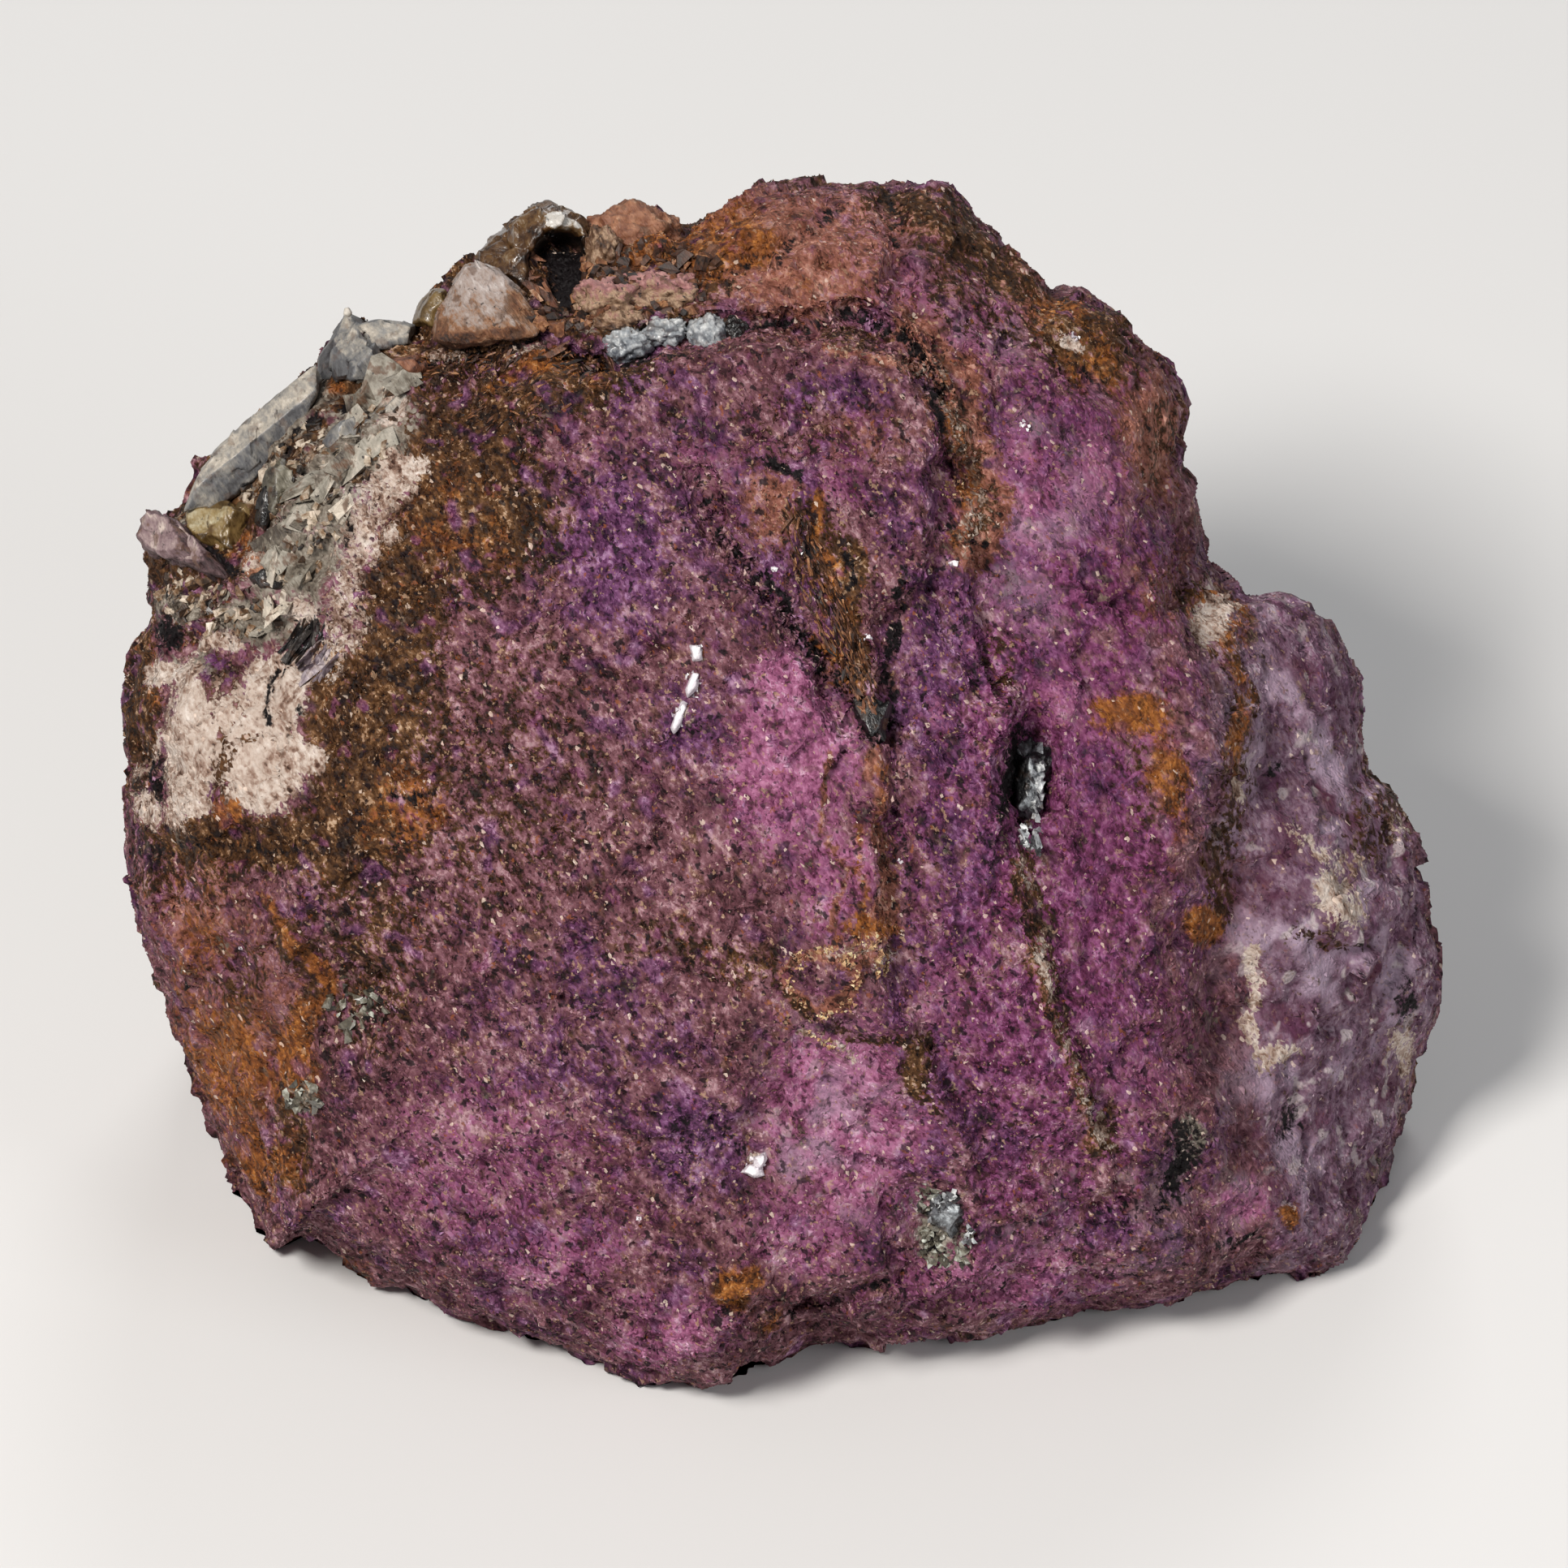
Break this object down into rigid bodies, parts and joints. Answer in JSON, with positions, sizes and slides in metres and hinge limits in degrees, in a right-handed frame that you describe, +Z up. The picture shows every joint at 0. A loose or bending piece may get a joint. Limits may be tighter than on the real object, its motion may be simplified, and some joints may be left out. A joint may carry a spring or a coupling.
{
  "type": "purpurite specimen",
  "caption": "Grainy purple phosphate mineral specimen: a stepped, pitted rock with frosted crystals, a grey plate and small nodules along its top edge, broken flat behind and below.",
  "frame": {"origin": "centre of the footprint's box, on the flat face that the rock rests on", "axes": "+X along the rock's longest extent, to the right of the stepped face; +Y away from that face; +Z up, the shortest extent"},
  "size_m": [0.0556, 0.0438, 0.0414],
  "materials": {
    "purpurite": "dull and grainy, dusty purple with brown, orange and cream stains and fine glints"
  },
  "bodies": {
    "root": {"specimen": "purpurite"}
  },
  "joints": []
}
